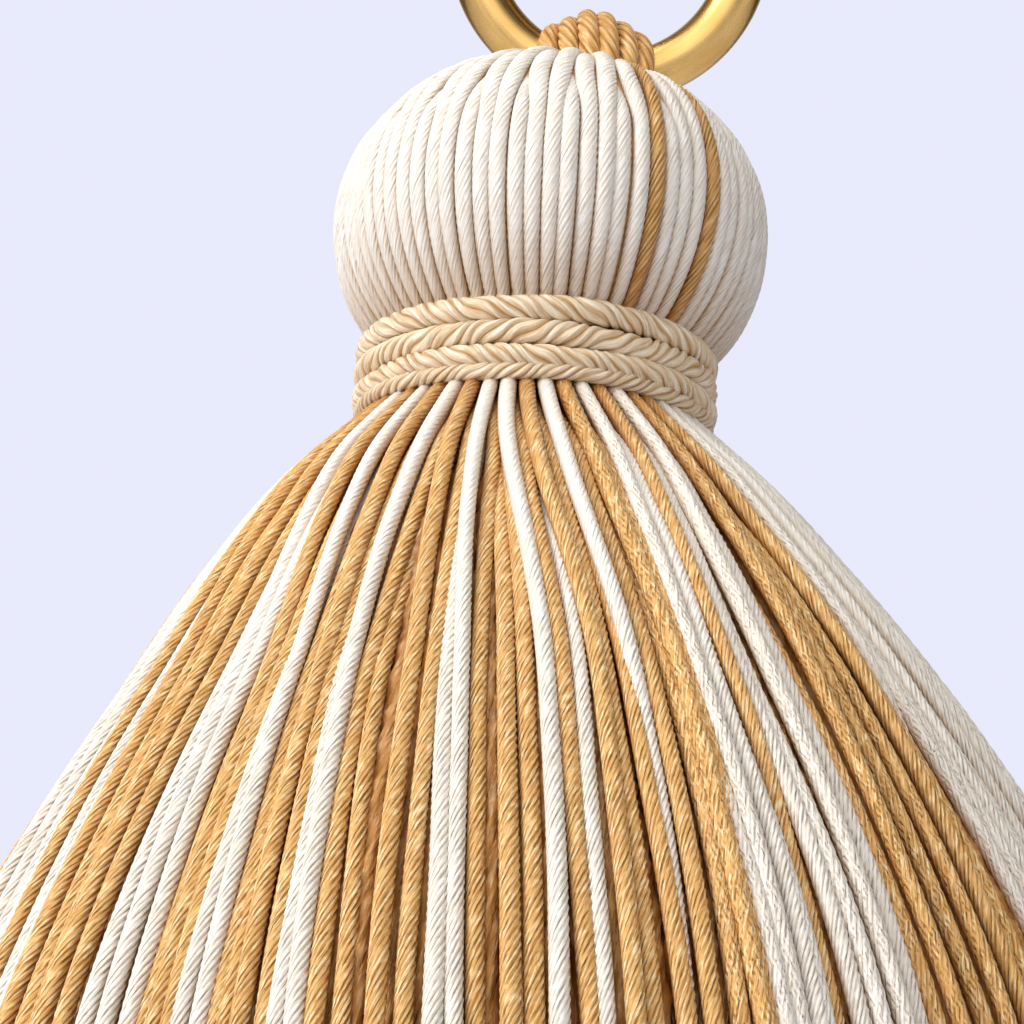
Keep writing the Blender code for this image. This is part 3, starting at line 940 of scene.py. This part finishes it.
def make_skirt(ivory, gold):
    """Three layers of twisted strands that share the face, over plainer ones that fill the inside."""
    dice = random.Random(11)
    strands = [
        (layer, place, "g" if layer in UNDER_LAYERS else COLOURS[layer][place])
        for layer in range(len(LAYERS))
        for place in range(STRANDS_AROUND)
    ]
    batches = {}
    for layer, place, colour in strands + list(EXTRA_STRANDS):
        side, section, count = strand_kind(layer, place)
        batch = batches.setdefault((side, colour), Batch())
        add_strand(batch, layer, place, colour, cord_section(*section), count, dice)
    for (side, colour), batch in batches.items():
        title, material = ("gold", gold) if colour == "g" else ("ivory", ivory)
        batch.make(f"skirt_{side}_{title}", material, title + "_cord", "skirt")


def make_skirt_heart(gold):
    """The tied bundle at the skirt's roots, seen only from underneath."""
    heights = np.array((0.0, -2.4, -3.0, -3.8, -4.6, -4.9))
    radii = np.array((10.0, 9.4, 7.8, 5.4, 2.6, 0.6))
    columns = STRANDS_AROUND * 2
    angles = -2 * np.pi * np.arange(columns) / columns
    ribs = 1 - 0.05 * (np.arange(columns) % 2)
    flat = around(angles)[None] * (radii[:, None] * ribs)[..., None]
    level = np.broadcast_to(heights[:, None], flat.shape[:2])
    rows = turn_about_y(np.concatenate([flat, level[..., None]], axis=-1), HEAD_LEAN)
    fibre = np.concatenate([flat, level[..., None] * 4], axis=-1)
    # Painted shade: the bundle is darkened almost fully to the shade colour
    yarn = np.broadcast_to(np.array((0.3, 0.5, 0.8)), rows.shape)
    batch = Batch()
    batch.add(rows, fibre, yarn)
    batch.make("skirt_roots", gold, "gold_cord", "skirt")


# Studio


def add_light(name, place, size, power, colour, gloss):
    """A soft square light that faces the tassel."""
    light = bpy.data.lights.new(name, "AREA")
    light.energy = power
    light.size = size
    light.color = colour
    light.specular_factor = gloss
    item = bpy.data.objects.new(name, light)
    item.location = place
    item.rotation_euler = (BINDING - Vector(place)).to_track_quat("-Z", "Y").to_euler()
    bpy.context.scene.collection.objects.link(item)


def air_strength(tree, side, limits):
    """Brightness of the air by how far its direction is from the bright side."""
    direction = tree.nodes.new("ShaderNodeTexCoord")
    facing = tree.nodes.new("ShaderNodeVectorMath")
    facing.operation = "DOT_PRODUCT"
    facing.inputs[1].default_value = side
    level = tree.nodes.new("ShaderNodeMapRange")
    level.interpolation_type = "SMOOTHSTEP"
    for socket, number in zip(level.inputs[1:5], limits):
        socket.default_value = number
    tree.links.new(direction.outputs["Generated"], facing.inputs[0])
    tree.links.new(facing.outputs["Value"], level.inputs[0])
    return level.outputs[0]


def make_floor():
    """Plain pale floor far below."""
    mesh = bpy.data.meshes.new("floor")
    sides = ((-1, -1), (1, -1), (1, 1), (-1, 1))
    corners = [(x * FLOOR_REACH, y * FLOOR_REACH, FLOOR_LEVEL) for x, y in sides]
    mesh.from_pydata(corners, [], [(0, 1, 2, 3)])
    kit = Nodes("floor")
    grain = kit.noise(kit.add("ShaderNodeTexCoord").outputs["Object"], 30.0, (1, 1, 1), 3.0)
    tint = kit.mix(kit.spread(grain, 0.3, 0.7, 0.0, 1.0), *FLOOR_COLOURS)
    kit.link(tint, kit.shader.inputs["Base Color"])
    kit.shader.inputs["Roughness"].default_value = 0.8
    mesh.materials.append(kit.material)
    floor = bpy.data.objects.new("floor", mesh)
    bpy.context.scene.collection.objects.link(floor)


def make_air():
    """Pale air: soft on matt surfaces, narrower in glossy ones, and even where the camera sees it."""
    world = bpy.data.worlds.new("studio")
    world.use_nodes = True
    tree = world.node_tree
    light = tree.nodes["Background"]
    light.inputs["Color"].default_value = AIR_COLOUR
    path = tree.nodes.new("ShaderNodeLightPath")
    strength = tree.nodes.new("ShaderNodeMix")
    tree.links.new(path.outputs["Is Glossy Ray"], strength.inputs[0])
    gloss = tree.nodes.new("ShaderNodeMath")
    tree.links.new(air_strength(tree, GLOSS_SIDE, GLOSS_RANGE), gloss.inputs[0])
    tree.links.new(air_strength(tree, BACK_GLOSS_SIDE, BACK_GLOSS_RANGE), gloss.inputs[1])
    tree.links.new(air_strength(tree, BRIGHT_SIDE, AIR_RANGE), strength.inputs[2])
    tree.links.new(gloss.outputs[0], strength.inputs[3])
    tree.links.new(strength.outputs[0], light.inputs["Strength"])
    seen = tree.nodes.new("ShaderNodeBackground")
    seen.inputs["Color"].default_value = BACKGROUND_COLOUR
    choice = tree.nodes.new("ShaderNodeMixShader")
    tree.links.new(path.outputs["Is Camera Ray"], choice.inputs[0])
    tree.links.new(light.outputs[0], choice.inputs[1])
    tree.links.new(seen.outputs[0], choice.inputs[2])
    tree.links.new(choice.outputs[0], tree.nodes["World Output"].inputs["Surface"])
    bpy.context.scene.world = world


def make_camera():
    """The photo's view: close, a little below and looking up."""
    camera = bpy.data.cameras.new("camera")
    camera.lens = CAMERA_LENS
    camera.clip_start = 0.01
    item = bpy.data.objects.new("camera", camera)
    turn = Matrix.Rotation(CAMERA_YAW, 4, "Z") @ Matrix.Rotation(math.pi / 2 + CAMERA_PITCH, 4, "X")
    turn = turn @ Matrix.Rotation(CAMERA_ROLL, 4, "Z")
    item.matrix_world = Matrix.Translation(BINDING + CAMERA_PLACE * MM) @ turn
    bpy.context.scene.collection.objects.link(item)
    bpy.context.scene.camera = item


low_corner, high_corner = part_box("band_middle")
BINDING = (low_corner + high_corner) / 2 - Vector((0, 0, MIDDLE_WRAP_HEIGHT * MM))

make_camera()
ivory_cord = make_cord_material("ivory_cord", *IVORY, creases=0.6)
gold_cord = make_cord_material("gold_cord", *GOLD, creases=1.0)
champagne_cord = make_cord_material("champagne_cord", *CHAMPAGNE, creases=1.0)
ivory_strand = make_strand_material("ivory_strand", *IVORY_SILK, contrast=0.45)
gold_strand = make_strand_material("gold_strand", *GOLD, contrast=1.0)
make_ring(make_brass())
make_sling(gold_cord)
make_head(ivory_cord, gold_cord)
make_binding(champagne_cord)
make_skirt(ivory_strand, gold_strand)
make_skirt_heart(gold_cord)
make_floor()
make_air()
for settings in LIGHTS:
    add_light(*settings)
bpy.context.scene.view_settings.view_transform = "Standard"
bpy.context.view_layer.update()
